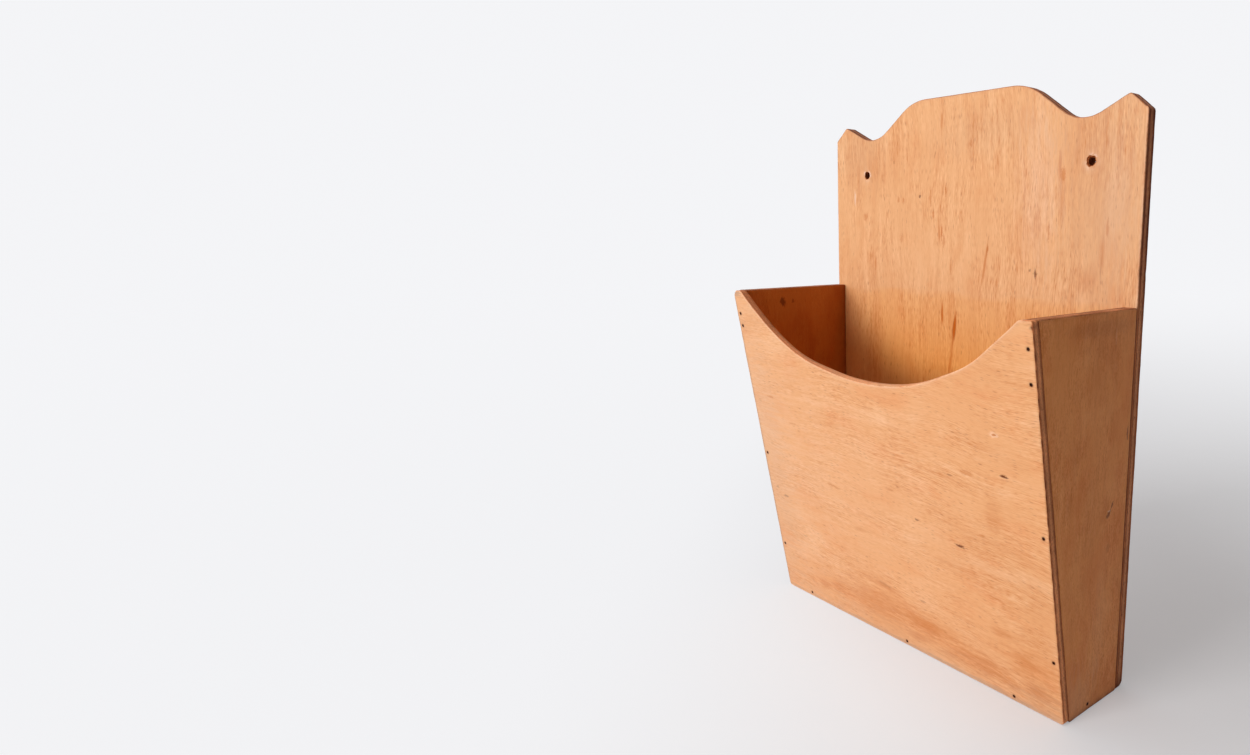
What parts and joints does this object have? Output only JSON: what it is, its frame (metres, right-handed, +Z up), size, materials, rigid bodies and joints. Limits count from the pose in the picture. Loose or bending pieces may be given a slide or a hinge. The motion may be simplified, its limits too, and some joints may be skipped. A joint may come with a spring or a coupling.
{
  "type": "wall mail organizer",
  "caption": "Plywood wall pocket for letters and folders, with a scooped, leaning front and a taller back whose shaped top has holes for wall screws.",
  "frame": {"origin": "on the ground, under the middle of the box that holds the whole organizer", "axes": "+Z up, +Y back towards the wall, +X to the right of someone who faces the front"},
  "size_m": [0.27, 0.1076, 0.376],
  "materials": {
    "back_plywood": "satin clear varnish on honey-coloured three-ply, upright grain",
    "side_plywood": "satin clear varnish on honey-coloured three-ply, upright grain",
    "front_plywood": "satin clear varnish on honey-coloured three-ply, level grain",
    "bottom_plywood": "satin clear varnish on honey-coloured three-ply",
    "nail_steel": "dark, tarnished steel panel pins"
  },
  "bodies": {
    "root": {"back_panel": "back_plywood", "left_side": "side_plywood", "right_side": "side_plywood", "front_panel": "front_plywood", "bottom_panel": "bottom_plywood", "front_left_nails": "nail_steel", "front_right_nails": "nail_steel", "front_bottom_nails": "nail_steel", "left_bottom_nail": "nail_steel", "right_bottom_nail": "nail_steel", "back_left_nails": "nail_steel", "back_right_nails": "nail_steel", "back_bottom_nails": "nail_steel"}
  },
  "joints": []
}
